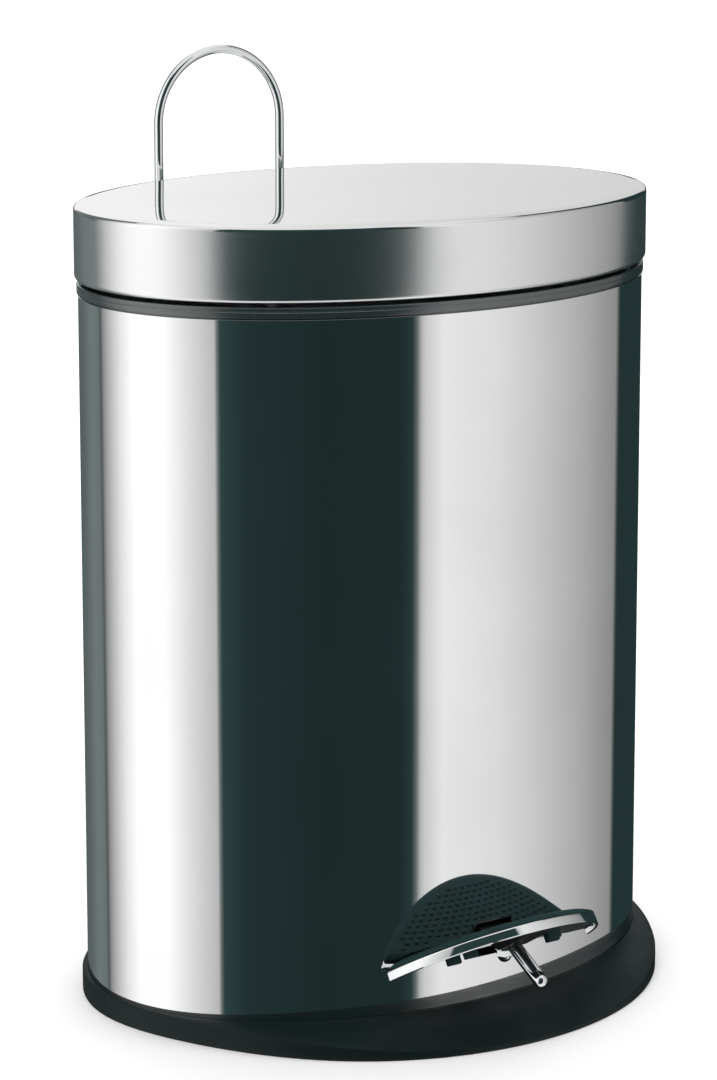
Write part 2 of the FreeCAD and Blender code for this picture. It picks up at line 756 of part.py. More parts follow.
def make_rod():
    """Flat push rod that stays upright behind the bucket, with a cross pin for the crank slot."""
    foot, head = "pivot_level - rod_drop", "hinge_level - rod_drop"
    strip = box(
        "rod_strip", "rod_left", "rod_right", "rod_depth - rod_half", "rod_depth + rod_half", foot, head
    )
    low_eye = rod("rod_low_eye", "rod_half + 0.6", "rod_right - rod_left", "rod_left", "rod_depth", foot, "x")
    top_eye = rod("rod_top_eye", "rod_half + 0.6", "rod_right - rod_left", "rod_left", "rod_depth", head, "x")
    low_hole = rod("rod_low_hole", "rod_pin + play", "30", "0 - 15", "rod_depth", foot, "x")
    top_hole = rod("rod_top_hole", "rod_pin", "30", "0 - 15", "rod_depth", head, "x")
    part("push_rod", cut("push_rod", fuse("rod_solid", strip, low_eye, top_eye), low_hole, top_hole))

    shaft = rod("cross_shaft", "rod_pin", "rod_right + 3.2", "0 - 3.2", "rod_depth", head, "x")
    stop = rod("cross_head", "2.2", "1", "0 - 3.2", "rod_depth", head, "x")
    part("crank_pin", fuse("crank_pin", shaft, stop))

    guide = box(
        "guide_block", "rod_left - 3.4", "rod_right + 3.4", "rod_depth - 4.6", "body_half_depth + 5",
        "150", "160",
    )
    inside = body_oval("guide_wall", "0 - sheet", "140", "170")
    channel = box(
        "guide_channel", "rod_left - 0.6", "rod_right + 0.6", "rod_depth - 3.1", "rod_depth + 3.6",
        "140", "170",
    )
    part("rod_guide", cut("rod_guide", common("guide_solid", guide, inside), channel))


def pedal_place(body, drop="0"):
    """Sets a pedal piece at the rear edge of the plate, rising forward by the pedal's slope."""
    place(body, "0", "0 - body_half_depth - pedal_gap", f"pedal_level + {drop}", X_AXIS, -30)
    body.setExpression("Placement.Rotation.Angle", size("0 - pedal_rise"))


def tab_outlines(sk, grow):
    """The four small rectangles where the rubber's tabs pass through the plate."""
    for x, y in ((22.0, 2.6), (18.5, 9.0)):
        for side in (-1, 1):
            x0, x1 = f"{side * x} - 3 - {grow}", f"{side * x} + 3 + {grow}"
            y0, y1 = f"0 - {y} - 2 - {grow}", f"0 - {y} + {grow}"
            outline(sk, [(x0, y0), (x1, y0), (x1, y1), (x0, y1)])


def notch_outline(sk, half, reach):
    """The opening in the rear edge where the lever comes through."""
    outline(
        sk,
        [(f"0 - {half}", "2"), (f"0 - {half}", f"0 - {reach}"), (half, f"0 - {reach}"), (half, "2")],
    )


def make_pedal():
    """Half-moon plate, hollowed behind to follow the wall, with a turned-down front edge and its rubber."""
    plate = new_body("plate_body")
    moon = sketch(plate, "XY_Plane", "plate_outline")
    half_moon(moon, "pedal_half", "pedal_reach", "0 - pedal_back")
    pad(plate, moon, "plate_block", "pedal_flange", reverse=True)
    under = sketch(plate, "XY_Plane", "plate_under")
    half_moon(under, "pedal_half - pedal_sheet", "pedal_reach - pedal_sheet", "0 - pedal_back")
    under.AttachmentOffset = FreeCAD.Placement(V(0, 0, -value("pedal_sheet")), FreeCAD.Rotation())
    pocket(plate, under, "plate_hollow", "pedal_flange")
    gap = sketch(plate, "XY_Plane", "plate_notch")
    notch_outline(gap, "notch_half", "notch_reach")
    pocket(plate, gap, "plate_gap")
    slits = sketch(plate, "XY_Plane", "plate_slits")
    tab_outlines(slits, "0.1")
    pocket(plate, slits, "plate_slots")
    pedal_place(plate)
    wall = body_oval("plate_wall", "pedal_gap", "0", "80")
    part("pedal_plate", cut("pedal_plate", plate, wall))

    rubber = new_body("rubber_body")
    face = sketch(rubber, "XY_Plane", "rubber_outline")
    half_moon(
        face, "pedal_half - 2 * rubber_inset", "pedal_reach - rubber_inset - rubber_rear",
        "rubber_rear - pedal_back",
    )
    pad(rubber, face, "rubber_sheet", "rubber_thick")
    opening = sketch(rubber, "XY_Plane", "rubber_notch")
    notch_outline(opening, "rubber_notch", "notch_reach - 2")
    pocket(rubber, opening, "rubber_gap")
    tabs = sketch(rubber, "XY_Plane", "rubber_tabs")
    tab_outlines(tabs, "0")
    pad(rubber, tabs, "rubber_feet", "pedal_sheet + 3.2", reverse=True)
    pedal_place(rubber)
    wall = body_oval("rubber_wall", "rubber_rear", "0", "80")
    part("pedal_rubber", cut("pedal_rubber", rubber, wall))


def make_peg():
    """Round-nosed peg under the pedal with its collar and cap nut."""
    peg_level, peg_depth = "pivot_level + 4.6", "0 - body_half_depth - 12"
    shank = doc.addObject("Part::Cylinder", "peg_shank")
    bind(shank, Radius="peg_radius", Height="peg_length")
    nose = doc.addObject("Part::Sphere", "peg_nose")
    bind(nose, Radius="peg_radius")
    place(nose, z="peg_length")
    peg = fuse("peg_round", shank, nose)
    place(peg, "0", peg_depth, peg_level, X_AXIS, 110)
    turn(peg, "90 + peg_slope")
    lever = next(made for made in PARTS if made.Label == "pedal_lever")
    part("pedal_peg", cut("pedal_peg", peg, lever))

    collar = rod("peg_collar", "4.4", "1.6", "0", "0 - body_half_depth - 6.3", "pivot_level + 2.35")
    nut = rod("cap_nut_hex", "3.2", "3", "0", "0 - body_half_depth - 6.3", "pivot_level - 0.6")
    dome = doc.addObject("Part::Sphere", "cap_nut_dome")
    bind(dome, Radius="2.6")
    place(dome, "0", "0 - body_half_depth - 6.3", "pivot_level - 0.3")
    part("lever_cap_nut", fuse("lever_cap_nut", collar, nut, dome))


def check_and_export():
    doc.recompute()
    for obj in doc.Objects:
        bad = [state for state in obj.State if state in ("Invalid", "Error")]
        if bad:
            raise RuntimeError(f"{obj.Name} is {bad}")
    os.makedirs("parts", exist_ok=True)
    for obj in PARTS:
        if obj.Shape.isNull() or not obj.Shape.isValid() or obj.Shape.Volume <= 0:
            raise RuntimeError(f"{obj.Label} has no valid shape")
    for obj in PARTS:
        obj.Shape.exportStep(f"parts/{obj.Label}.step")
        print(obj.Label, len(obj.Shape.Solids), "solid(s)", round(obj.Shape.Volume / 1000, 2), "cm3")


make_base()
make_body()
make_rim()
make_bucket()
make_lid()
make_lid_hinge()
make_housing()
make_handle()
make_bracket()
make_lever()
make_rod()
make_pedal()
make_peg()
check_and_export()
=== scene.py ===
import math

import bmesh
import bpy
from mathutils import Matrix, Vector


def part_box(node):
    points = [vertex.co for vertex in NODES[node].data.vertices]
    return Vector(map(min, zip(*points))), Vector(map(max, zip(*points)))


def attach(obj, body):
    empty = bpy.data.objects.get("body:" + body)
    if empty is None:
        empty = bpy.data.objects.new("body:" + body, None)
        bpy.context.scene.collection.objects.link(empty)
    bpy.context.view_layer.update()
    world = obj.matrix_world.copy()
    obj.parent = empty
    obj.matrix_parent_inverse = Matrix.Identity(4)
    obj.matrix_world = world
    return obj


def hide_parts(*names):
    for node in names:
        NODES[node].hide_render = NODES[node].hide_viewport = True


# The looks of an oval pedal bin, built round its CAD bodies. Sizes are in millimetres until a mesh is made.

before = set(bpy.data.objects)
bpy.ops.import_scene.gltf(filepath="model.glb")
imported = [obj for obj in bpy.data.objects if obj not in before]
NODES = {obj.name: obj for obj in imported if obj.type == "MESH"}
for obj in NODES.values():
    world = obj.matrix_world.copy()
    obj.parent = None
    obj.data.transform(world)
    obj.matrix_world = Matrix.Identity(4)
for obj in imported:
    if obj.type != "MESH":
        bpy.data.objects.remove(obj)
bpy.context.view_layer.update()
MM = 0.001
# Points in each loop round the oval.
AROUND = 256


def rad(degrees):
    return math.radians(degrees)


def extent(node):
    """Lowest and highest corner of a CAD node in millimetres."""
    low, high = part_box(node)
    return low / MM, high / MM


WALL_LOW, WALL_HIGH = extent("body_shell")
LID_LOW, LID_HIGH = extent("lid_shell")
RIM_LOW, RIM_HIGH = extent("rim_ring")
BASE_TOP = extent("base_moulding")[1].z
BUCKET_LOW, BUCKET_HIGH = extent("inner_bucket")
HANDLE_LOW, HANDLE_HIGH = extent("carry_handle")
HOUSING_LOW, HOUSING_HIGH = extent("hinge_housing")
HALF_W, HALF_D = WALL_HIGH.x, WALL_HIGH.y
# Thickness of the wall's and the lid's steel.
SHEET = 0.8


# ---------------------------------------------------------------- materials


def fill_ramp(ramp, stops):
    """Sets a colour ramp to (position, colour) stops."""
    while len(ramp.elements) < len(stops):
        ramp.elements.new(0.5)
    for element, (at, colour) in zip(ramp.elements, stops):
        element.position = at
        element.color = (*colour, 1.0)


class Shader:
    """A Principled material with short calls for the textures that drive it."""

    def __init__(self, name, **sockets):
        self.material = bpy.data.materials.new(name)
        self.material.use_nodes = True
        self.tree = self.material.node_tree
        self.bsdf = self.tree.nodes["Principled BSDF"]
        for socket, number in sockets.items():
            self.bsdf.inputs[socket.replace("_", " ")].default_value = number
        self.coords = self.tree.nodes.new("ShaderNodeTexCoord").outputs["Object"]

    def node(self, kind, **settings):
        made = self.tree.nodes.new(kind)
        for name, setting in settings.items():
            setattr(made, name, setting)
        return made

    def link(self, output, target):
        self.tree.links.new(output, target)

    def stretched(self, scale):
        """Object coordinates scaled by a different amount along each axis."""
        mapping = self.node("ShaderNodeMapping")
        mapping.inputs["Scale"].default_value = scale
        self.link(self.coords, mapping.inputs["Vector"])
        return mapping.outputs["Vector"]

    def noise(self, scale, detail=3.0, roughness=0.55, vector=None):
        made = self.node("ShaderNodeTexNoise")
        made.inputs["Scale"].default_value = scale
        made.inputs["Detail"].default_value = detail
        made.inputs["Roughness"].default_value = roughness
        self.link(vector or self.coords, made.inputs["Vector"])
        return made.outputs["Fac"]

    def spots(self, scale):
        made = self.node("ShaderNodeTexVoronoi")
        made.inputs["Scale"].default_value = scale
        self.link(self.coords, made.inputs["Vector"])
        return made.outputs["Distance"]

    def spread(self, value, low, high, in_low=0.3, in_high=0.7):
        """Maps a texture from its usual range to low..high."""
        made = self.node("ShaderNodeMapRange")
        made.inputs["From Min"].default_value = in_low
        made.inputs["From Max"].default_value = in_high
        made.inputs["To Min"].default_value = low
        made.inputs["To Max"].default_value = high
        self.link(value, made.inputs["Value"])
        return made.outputs["Result"]

    def ramp(self, value, stops):
        made = self.node("ShaderNodeValToRGB")
        fill_ramp(made.color_ramp, stops)
        self.link(value, made.inputs["Fac"])
        return made.outputs["Color"]

    def product(self, first, second):
        made = self.node("ShaderNodeMath", operation="MULTIPLY")
        self.link(first, made.inputs[0])
        self.link(second, made.inputs[1])
        return made.outputs["Value"]

    def colour(self, output):
        self.link(output, self.bsdf.inputs["Base Color"])

    def rough(self, output):
        self.link(output, self.bsdf.inputs["Roughness"])

    def bump(self, height, strength, depth):
        made = self.node("ShaderNodeBump")
        made.inputs["Strength"].default_value = strength
        made.inputs["Distance"].default_value = depth
        self.link(height, made.inputs["Height"])
        self.link(made.outputs["Normal"], self.bsdf.inputs["Normal"])


def polished_steel(name, tint=(0.93, 0.935, 0.94), rough=(0.015, 0.05)):
    """Mirror finish with faint polishing haze and a few hairline marks."""
    made = Shader(name, Metallic=1.0)
    haze = made.noise(14.0, 4.0)
    marks = made.noise(30.0, 6.0, 0.7, made.stretched((1.0, 1.0, 18.0)))
    darker = tuple(0.955 * c for c in tint)
    made.colour(made.ramp(haze, [(0.35, darker), (0.65, tint)]))
    made.rough(made.spread(made.product(haze, marks), rough[0], rough[1], 0.12, 0.42))
    made.bump(made.noise(9.0, 1.0), 0.03, 0.0006)
    return made.material


def brushed_steel(name, tint, rough, grain, depth=0.05, contrast=0.1):
    """Satin steel whose fine lines run across the direction that grain scales most."""
    made = Shader(name, Metallic=1.0)
    lines = made.noise(1.0, 6.0, 0.65, made.stretched(grain))
    patches = made.noise(18.0, 3.0)
    darker = tuple((1 - contrast) * c for c in tint)
    made.colour(made.ramp(lines, [(0.3, darker), (0.7, tint)]))
    made.rough(made.spread(made.product(lines, patches), rough[0], rough[1], 0.15, 0.38))
    made.bump(lines, depth, 0.0002)
    return made.material


def plated_steel(name, tint):
    """Dull zinc plating with a light crystal mottling."""
    made = Shader(name, Metallic=1.0)
    mottle = made.spots(420.0)
    cloud = made.noise(60.0, 4.0)
    darker = tuple(0.78 * c for c in tint)
    made.colour(made.ramp(mottle, [(0.0, darker), (0.8, tint)]))
    made.rough(made.spread(cloud, 0.28, 0.46))
    made.bump(made.noise(900.0, 2.0), 0.08, 0.0002)
    return made.material


def moulded_plastic(name, tint, rough, grain, depth, gloss=0.5):
    """Moulded plastic with a fine grain, an uneven sheen and a slightly cloudy tint."""
    made = Shader(name)
    made.bsdf.inputs["Specular IOR Level"].default_value = gloss
    cloud = made.noise(22.0, 4.0)
    lighter = tuple(min(1.0, 1.35 * c) for c in tint)
    made.colour(made.ramp(cloud, [(0.3, tint), (0.75, lighter)]))
    made.rough(made.spread(made.noise(70.0, 5.0), rough[0], rough[1]))
    made.bump(made.noise(grain, 3.0, 0.6), depth, 0.00012)
    return made.material


def soft_rubber(name, tint):
    """Matt rubber with a dusty variation."""
    made = Shader(name)
    made.bsdf.inputs["Specular IOR Level"].default_value = 0.35
    dust = made.noise(160.0, 6.0, 0.7)
    lighter = tuple(1.7 * c for c in tint)
    made.colour(made.ramp(dust, [(0.4, tint), (0.8, lighter)]))
    made.rough(made.spread(dust, 0.55, 0.8))
    made.bump(made.noise(1900.0, 3.0), 0.3, 0.00012)
    return made.material


def coated(material, weight, ior, rough):
    """Adds a clear shine over a material."""
    inputs = material.node_tree.nodes["Principled BSDF"].inputs
    inputs["Coat Weight"].default_value = weight
    inputs["Coat IOR"].default_value = ior
    inputs["Coat Roughness"].default_value = rough
    return material


MIRROR = polished_steel("mirror_steel")
LID_TOP = polished_steel("lid_top_steel", (0.9, 0.905, 0.91), (0.02, 0.05))
SKIRT = brushed_steel(
    "lid_skirt_steel", (0.92, 0.925, 0.93), (0.22, 0.27), (5.0, 5.0, 5200.0), depth=0.02, contrast=0.04
)
CHROME = polished_steel("chrome", (0.9, 0.91, 0.92), (0.03, 0.08))
PLATED = plated_steel("plated_steel", (0.62, 0.63, 0.645))
PLATED_PINS = brushed_steel("pin_steel", (0.66, 0.67, 0.68), (0.25, 0.4), (700.0, 60.0, 60.0))
HINGE_STEEL = brushed_steel("hinge_steel", (0.74, 0.75, 0.76), (0.22, 0.36), (600.0, 40.0, 40.0))
BASE_PLASTIC = moulded_plastic("base_plastic", (0.0016, 0.0072, 0.0074), (0.44, 0.54), 1300.0, 0.3, 0.22)
RIM_PLASTIC = coated(
    moulded_plastic("rim_plastic", (0.01, 0.018, 0.0185), (0.2, 0.28), 900.0, 0.12, 0.9),
    weight=0.8, ior=1.9, rough=0.2,
)
HOUSING_PLASTIC = moulded_plastic("housing_plastic", (0.016, 0.019, 0.02), (0.36, 0.5), 1300.0, 0.3)
BUCKET_PLASTIC = moulded_plastic("bucket_plastic", (0.03, 0.031, 0.033), (0.34, 0.5), 700.0, 0.2)
LINER_PLASTIC = moulded_plastic("liner_plastic", (0.02, 0.021, 0.022), (0.4, 0.55), 1100.0, 0.25)
PEDAL_RUBBER = soft_rubber("pedal_rubber", (0.003, 0.0225, 0.023))
# Near-black lever: painted shade. The dark colour stands in for the lever lying in shadow in the wall's slot,
# not for a black coat on the lever.
LEVER_PAINTED_SHADE = moulded_plastic("lever_painted_shade", (0.01, 0.012, 0.0125), (0.35, 0.5), 1600.0, 0.2, 0.3)
PAD_RUBBER = soft_rubber("pad_rubber", (0.03, 0.03, 0.031))


# ---------------------------------------------------------------- mesh helpers


def shade(mesh, sharp):
    """Shades a mesh smooth, with sharp edges from an angle in degrees."""
    mesh.polygons.foreach_set("use_smooth", [True] * len(mesh.polygons))
    mesh.set_sharp_from_angle(angle=rad(sharp))


def piece(name, bm, materials, body, node, sharp, placed=None):
    """Makes an object of a mesh in millimetres, hangs it on the body it rides on and hides the CAD node it
    stands for.
    """
    mesh = bpy.data.meshes.new(name)
    bm.to_mesh(mesh)
    bm.free()
    mesh.transform(Matrix.Scale(MM, 4) @ (placed or Matrix.Identity(4)))
    made = bpy.data.objects.new(name, mesh)
    bpy.context.scene.collection.objects.link(made)
    for material in materials:
        mesh.materials.append(material)
    shade(mesh, sharp)
    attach(made, body)
    if node:
        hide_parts(node)
    return made


def bake(made, sharp):
    """Applies an object's modifiers to its mesh."""
    graph = bpy.context.evaluated_depsgraph_get()
    mesh = bpy.data.meshes.new_from_object(made.evaluated_get(graph))
    made.modifiers.clear()
    old = made.data
    made.data = mesh
    bpy.data.meshes.remove(old)
    shade(mesh, sharp)


def carve(made, *cutters, sharp):
    """Cuts closed meshes, given in millimetres, out of an object."""
    tools = []
    for bm in cutters:
        mesh = bpy.data.meshes.new("cutter")
        bm.to_mesh(mesh)
        bm.free()
        mesh.transform(Matrix.Scale(MM, 4))
        tool = bpy.data.objects.new("cutter", mesh)
        bpy.context.scene.collection.objects.link(tool)
        tools.append(tool)
        boolean = made.modifiers.new("carve", "BOOLEAN")
        boolean.operation = "DIFFERENCE"
        boolean.solver = "EXACT"
        boolean.object = tool
    bake(made, sharp)
    for tool in tools:
        mesh = tool.data
        bpy.data.objects.remove(tool)
        bpy.data.meshes.remove(mesh)


def block(x0, x1, y0, y1, z0, z1, bevel=0.0, placed=None, bm=None):
    """A box, with rounded edges where bevel is given."""
    bm = bm or bmesh.new()
    made = bmesh.ops.create_cube(bm, size=1.0)["verts"]
    bmesh.ops.scale(bm, vec=(x1 - x0, y1 - y0, z1 - z0), verts=made)
    bmesh.ops.translate(bm, vec=((x0 + x1) / 2, (y0 + y1) / 2, (z0 + z1) / 2), verts=made)
    if bevel:
        edges = list({edge for vert in made for edge in vert.link_edges})
        bevelled = bmesh.ops.bevel(bm, geom=edges, offset=bevel, segments=3, affect="EDGES", profile=0.5)
        made = bevelled["verts"]
    if placed is not None:
        bmesh.ops.transform(bm, matrix=placed, verts=made)
    return bm


def rings_mesh(rings, closed=False, cap_first=True, cap_last=True, bm=None, skip=None):
    """Skins a stack of loops of points. Returns the bmesh and its rows of vertices."""
    bm = bm or bmesh.new()
    rows = [[bm.verts.new(point) for point in ring] for ring in rings]
    count = len(rows[0])
    pairs = list(zip(rows, rows[1:]))
    if closed:
        pairs.append((rows[-1], rows[0]))
    for j, (first, second) in enumerate(pairs):
        for i in range(count):
            if skip and skip(i, j):
                continue
            k = (i + 1) % count
            bm.faces.new((first[i], first[k], second[k], second[i]))
    if not closed:
        if cap_first:
            bm.faces.new(list(reversed(rows[0])))
        if cap_last:
            bm.faces.new(rows[-1])
    return bm, rows


def angles(extra=()):
    """Even steps round the oval from its right end, with the nearest steps moved onto given angles."""
    made = [2 * math.pi * i / AROUND for i in range(AROUND)]
    for target in extra:
        nearest = min(range(AROUND), key=lambda i: abs(made[i] - target))
        made[nearest] = target
    return made


def oval(half_width, half_depth, z, steps):
    return [Vector((half_width * math.cos(t), half_depth * math.sin(t), z)) for t in steps]


def oval_stack(stack, steps):
    """Loops at (offset from the wall, level)."""
    return [oval(HALF_W + offset, HALF_D + offset, z, steps) for offset, z in stack]


def arc(across, up, radius, start, end, count=6):
    """Points of an arc about a centre, from one angle to another in degrees."""
    return [
        (across + radius * math.cos(rad(a)), up + radius * math.sin(rad(a)))
        for a in (start + (end - start) * i / count for i in range(count + 1))
    ]


def outward(bm):
    bmesh.ops.recalc_face_normals(bm, faces=bm.faces)
    return bm


def skinned(rings, closed=False):
    """A stack of loops skinned into a closed mesh that faces outward."""
    return outward(rings_mesh(rings, closed=closed)[0])


def oval_prism(half_width, half_depth, low, high):
    steps = angles()
    return skinned([oval(half_width, half_depth, z, steps) for z in (low, high)])


def circle(radius, z, count):
    turns = [2 * math.pi * i / count for i in range(count)]
    return [Vector((radius * math.cos(t), radius * math.sin(t), z)) for t in turns]


def lathe(profile, count=40, bm=None, placed=None):
    """Turns (radius, level) points about Z, closing both ends."""
    bm, rows = rings_mesh([circle(radius, z, count) for radius, z in profile], bm=bm)
    if placed is not None:
        bmesh.ops.transform(bm, matrix=placed, verts=[v for row in rows for v in row])
    return bm


def tube(path, radius, count):
    """A round bar along a path, with slightly tapered ends."""
    rings = []
    along = (path[1] - path[0]).normalized()
    side = along.orthogonal().normalized()
    for i, point in enumerate(path):
        before = path[max(i - 1, 0)]
        after = path[min(i + 1, len(path) - 1)]
        heading = (after - before).normalized()
        side = (side - heading * side.dot(heading)).normalized()
        other = heading.cross(side)
        size = radius * (0.75 if i in (0, len(path) - 1) else 1.0)
        turns = [2 * math.pi * k / count for k in range(count)]
        rings.append([point + size * (side * math.cos(t) + other * math.sin(t)) for t in turns])
    return skinned(rings)


# ---------------------------------------------------------------- body wall


def make_wall():
    """Mirror-polished wall with the slot for the lever low in front."""
    slot_half = 8.0
    slot_low, slot_high = 24.4, 36.8
    lower_belt, upper_belt = 100.0, 180.0
    edge = 0.15
    left = 1.5 * math.pi - math.asin(slot_half / HALF_W)
    right = 1.5 * math.pi + math.asin(slot_half / HALF_W)
    steps = angles((left, right))
    low, high = WALL_LOW.z, WALL_HIGH.z
    levels = [low + edge, slot_low, slot_high, lower_belt, upper_belt, high - edge]
    stack = [(-edge, low)] + [(0.0, z) for z in levels] + [(-edge, high)]
    stack += [(edge - SHEET, high)] + [(-SHEET, z) for z in reversed(levels)] + [(edge - SHEET, low)]
    out_low, out_high = stack.index((0.0, slot_low)), stack.index((0.0, slot_high))
    in_high, in_low = stack.index((-SHEET, slot_high)), stack.index((-SHEET, slot_low))
    i0, i1 = steps.index(left), steps.index(right)

    def in_slot(i, j):
        return i0 <= i < i1 and j in (out_low, in_high)

    bm, rows = rings_mesh(oval_stack(stack, steps), closed=True, skip=in_slot)
    outer_low, outer_high, inner_high, inner_low = rows[out_low], rows[out_high], rows[in_high], rows[in_low]
    for i in range(i0, i1):
        bm.faces.new((outer_low[i], outer_low[i + 1], inner_low[i + 1], inner_low[i]))
        bm.faces.new((outer_high[i + 1], outer_high[i], inner_high[i], inner_high[i + 1]))
    for i in (i0, i1):
        bm.faces.new((outer_low[i], outer_high[i], inner_high[i], inner_low[i]))
    piece("body_wall", outward(bm), [MIRROR], "bin", "body_shell", 25.0)


# ---------------------------------------------------------------- base


def base_outline(t, grow, level, edge_level=False):
    """A point of the base's outer edge, grown or shrunk, at a level or relative to the lip's own level."""
    front = max(0.0, -math.sin(t))
    border, flare, dip = 2.0, 0.32, 6.5
    wider = 1 + flare * front ** 3.4
    x = (HALF_W + border + grow) * math.cos(t) * wider
    y = (HALF_D + border + grow) * math.sin(t) * wider
    z = BASE_TOP - dip * front ** 4.4 + level if edge_level else level
    return Vector((x, y, z))


def make_base():
    """Moulded base: a flared apron in front, a ledge round the wall, a well inside and the feet's sockets."""
    steps = angles()
    top = BASE_TOP
    crown = 0.25
    ledge = [oval(HALF_W + off, HALF_D + off, z, steps) for off, z in ((1.15, top - 0.12), (0.85, top))]
    lip = [base_outline(t, -0.55, 0.0, True) for t in steps]
    slope = [
        [low.lerp(high, share) + Vector((0, 0, crown * math.sin(math.pi * share)))
         for low, high in zip(lip, ledge[0])]
        for share in (0.25, 0.5, 0.75)
    ]
    for ring in slope:
        for point in ring:
            point.z = min(point.z, top - 0.02)
    rings = [
        [base_outline(t, -0.7, 0.0) for t in steps],
        [base_outline(t, -0.15, 0.12) for t in steps],
        [base_outline(t, 0.0, 0.5) for t in steps],
        [base_outline(t, 0.0, -0.55, True) for t in steps],
        [base_outline(t, -0.16, -0.16, True) for t in steps],
        lip,
        *slope,
        *ledge,
        *oval_stack([(0.15, top), (0.05, top - 0.2), (0.05, 4.0), (-0.9, 4.0), (-0.9, top - 0.2),
                     (-1.1, top), (-3.0, top), (-3.2, top - 0.2), (-3.2, 3.2), (-3.6, 2.6), (-4.4, 2.5)],
                    steps),
    ]
    made = piece("base", skinned(rings), [BASE_PLASTIC], "bin", "base_moulding", 28.0)
    sockets = []
    pads_high = extent("anti_slip_pads")[1]
    radius = 7.0
    across, along = pads_high.x - radius, pads_high.y - radius
    for sx in (-1, 1):
        for sy in (-1, 1):
            socket = Matrix.Translation((sx * across, sy * along, 0.0))
            sockets.append(lathe([(radius + 0.1, -2.0), (radius + 0.1, 1.25)], 48, placed=socket))
    carve(made, *sockets, sharp=28.0)


# ---------------------------------------------------------------- rim and bucket


def make_rim():
    """Dark moulded ring: a rounded band outside, a neck inside the wall, a seat for the bucket's lip and a
    passage for the push rod."""
    steps = angles()
    low, high = RIM_LOW.z, RIM_HIGH.z
    neck_out, neck_in = -SHEET - 0.1, -SHEET - 2.2
    band = 0.5
    foot = WALL_HIGH.z + 0.6
    outer = [(neck_out, foot), (band - 0.35, foot), (band - 0.1, foot + 0.1), (band, foot + 0.35)]
    outer += [(band, high - 1.9), (band - 0.12, high - 1.75), (band - 0.12, high - 1.55), (band, high - 1.4)]
    outer += arc(band - 0.6, high - 0.6, 0.6, 0, 90)
    rings = oval_stack([(neck_in, low + 0.3), (neck_in + 0.3, low), (neck_out - 0.3, low),
                        (neck_out, low + 0.3), *outer], steps)
    seat_w, seat_d = 104.0, 68.0
    mouth_w, mouth_d = 101.5, 65.5
    rings += [oval(seat_w + off, seat_d + off, z, steps)
              for off, z in ((0.3, high), (0.0, high - 0.3), (0.0, high - 1.4))]
    rings += [oval(mouth_w + off, mouth_d + off, z, steps)
              for off, z in ((0.2, high - 1.4), (0.0, high - 1.6), (0.0, high - 2.4))]
    rings += oval_stack([(neck_in - 0.3, high - 2.4), (neck_in, high - 2.7)], steps)
    ring = skinned(rings, closed=True)
    made = piece("rim", ring, [RIM_PLASTIC], "bin", "rim_ring", 28.0)
    rod_low, rod_high = extent("push_rod")
    passage = block(rod_low.x - 1, rod_high.x + 1, rod_low.y - 0.6, rod_high.y + 0.6, low - 2, high + 2)
    carve(made, passage, sharp=28.0)


def make_bucket():
    """Tapered lift-out bucket with a rolled lip, a rounded foot and a faint step below the lip."""
    steps = angles()
    foot, top = BUCKET_LOW.z, BUCKET_HIGH.z
    wall = 1.5
    foot_w, foot_d, mouth_w, mouth_d = 90.0, 55.0, 101.0, 65.0
    belts = (90.0, 140.0, 190.0, 236.0)

    def ring(level, inset=0.0):
        share = (level - foot) / (top - 1.4 - foot)
        half_width = foot_w + (mouth_w - foot_w) * share - inset
        half_depth = foot_d + (mouth_d - foot_d) * share - inset
        return oval(half_width, half_depth, level, steps)

    rings = [ring(foot, 6.0), ring(foot, 2.5), ring(foot + 0.6, 0.8), ring(foot + 2.0, 0.15)]
    rings += [ring(foot + 4.0)] + [ring(z) for z in belts]
    rings += [ring(238.0, 0.25), ring(top - 1.9)]
    lip_w, lip_d = 103.7, 67.7
    rings += [oval(lip_w + off, lip_d + off, z, steps)
              for off, z in ((-0.3, top - 1.4), (0.0, top - 1.2), (0.0, top - 0.5), (-0.15, top - 0.15),
                             (-0.5, top))]
    rings += [ring(top, wall - 0.6), ring(top - 0.2, wall - 0.1), ring(top - 0.8, wall)]
    rings += [ring(z, wall) for z in reversed(belts)] + [ring(foot + 6.0, wall)]
    rings += [ring(foot + 3.2, wall + 0.4), ring(foot + 2.0, wall + 1.8), ring(foot + wall, wall + 5.0)]
    piece("bucket", skinned(rings), [BUCKET_PLASTIC], "bin", "inner_bucket", 30.0)


# ---------------------------------------------------------------- lid


